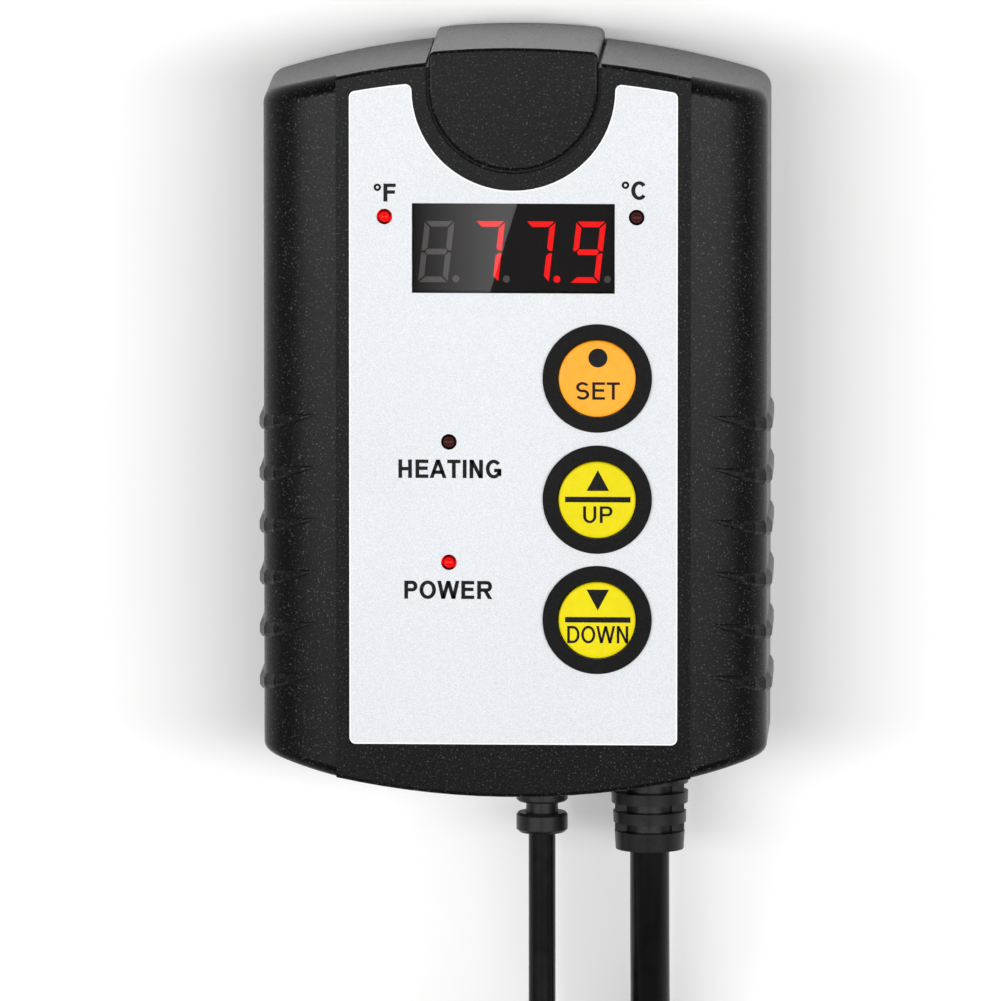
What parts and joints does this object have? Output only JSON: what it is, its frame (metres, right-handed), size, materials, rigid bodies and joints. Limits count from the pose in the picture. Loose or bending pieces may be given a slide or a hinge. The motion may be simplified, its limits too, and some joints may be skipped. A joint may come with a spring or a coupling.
{
  "type": "heat mat thermostat",
  "caption": "Digital thermostat for a seedling heat mat: black box with LED display, push buttons, a sensor probe on a thin lead and a piggyback plug on a power cord.",
  "frame": {"origin": "middle of the box's footprint, on the surface that it lies on, without the leads", "axes": "+X across the box to the power cord's side, +Y along the box to the end with the cap, +Z out of the faceplate"},
  "size_m": [0.1019, 0.3058, 0.0367],
  "materials": {
    "housing": "fine spark-textured",
    "cap": "fine spark-textured",
    "label": "silver, fine metallic grain",
    "window": "clear, dark tinted",
    "ring": "satin black",
    "set_key": "satin orange",
    "step_key": "satin yellow",
    "plunger": "satin",
    "switch": "satin",
    "lamp_lit": "lit red",
    "lamp_dark": "dark red",
    "module": "black",
    "segment_lit": "lit red",
    "segment_dark": "grey",
    "board": "green solder mask",
    "component": "moulded case",
    "capacitor": "sleeved",
    "film": "epoxy",
    "glass_tube": "clear",
    "metal": "plated",
    "brass": "bright",
    "terminal": "moulded",
    "wire": "insulated",
    "rubber": "fine grain",
    "cord": "smooth, glossy",
    "tie": "satin",
    "steel": "polished",
    "plug": "moulded",
    "paper": "blank label"
  },
  "bodies": {
    "root": {"board_header": "brass", "board_screws": "metal", "button_rings": "ring", "celsius_led": "lamp_dark", "cord_terminals": "terminal", "display_board": "board", "display_module": "module", "display_segments_lit": "segment_lit", "display_segments_unlit": "segment_dark", "display_window": "window", "electrolytic_capacitors": "capacitor", "faceplate_label": "label", "fahrenheit_led": "lamp_lit", "film_capacitor": "film", "front_housing": "housing", "fuse": "glass_tube", "fuse_clips": "metal", "heating_led": "lamp_dark", "housing_screws": "metal", "mains_wires": "wire", "microcontroller": "component", "panel_screws": "metal", "plug_body": "plug", "plug_ground_pin": "brass", "plug_line_blade": "brass", "plug_neutral_blade": "brass", "plug_strain_relief": "rubber", "power_board": "board", "power_coil_tie": "tie", "power_cord_coil": "cord", "power_cord_lead": "cord", "power_cord_tail": "cord", "power_led": "lamp_lit", "power_strain_relief": "rubber", "rear_housing": "housing", "rear_label": "paper", "relay": "component", "sensor_cable_coil": "cord", "sensor_cable_lead": "cord", "sensor_cable_tail": "cord", "sensor_coil_tie": "tie", "sensor_connector": "paper", "sensor_probe_boot": "rubber", "sensor_probe_tube": "steel", "sensor_strain_relief": "rubber", "sensor_wires": "wire", "socket_contacts": "brass", "tact_switches": "switch", "top_cap": "cap", "transformer": "component", "voltage_regulator": "component"},
    "set_key_body": {"set_button": "set_key", "set_switch_plunger": "plunger"},
    "up_key_body": {"up_button": "step_key", "up_switch_plunger": "plunger"},
    "down_key_body": {"down_button": "step_key", "down_switch_plunger": "plunger"}
  },
  "joints": [
    {"name": "set_press", "type": "slide", "parent": "root", "child": "set_key_body", "axis": [0, 0, -1], "range_m": [0, 0.0005], "stiffness_N_per_m": 400, "springref_m": -0.001},
    {"name": "up_press", "type": "slide", "parent": "root", "child": "up_key_body", "axis": [0, 0, -1], "range_m": [0, 0.0005], "stiffness_N_per_m": 400, "springref_m": -0.001},
    {"name": "down_press", "type": "slide", "parent": "root", "child": "down_key_body", "axis": [0, 0, -1], "range_m": [0, 0.0005], "stiffness_N_per_m": 400, "springref_m": -0.001}
  ]
}
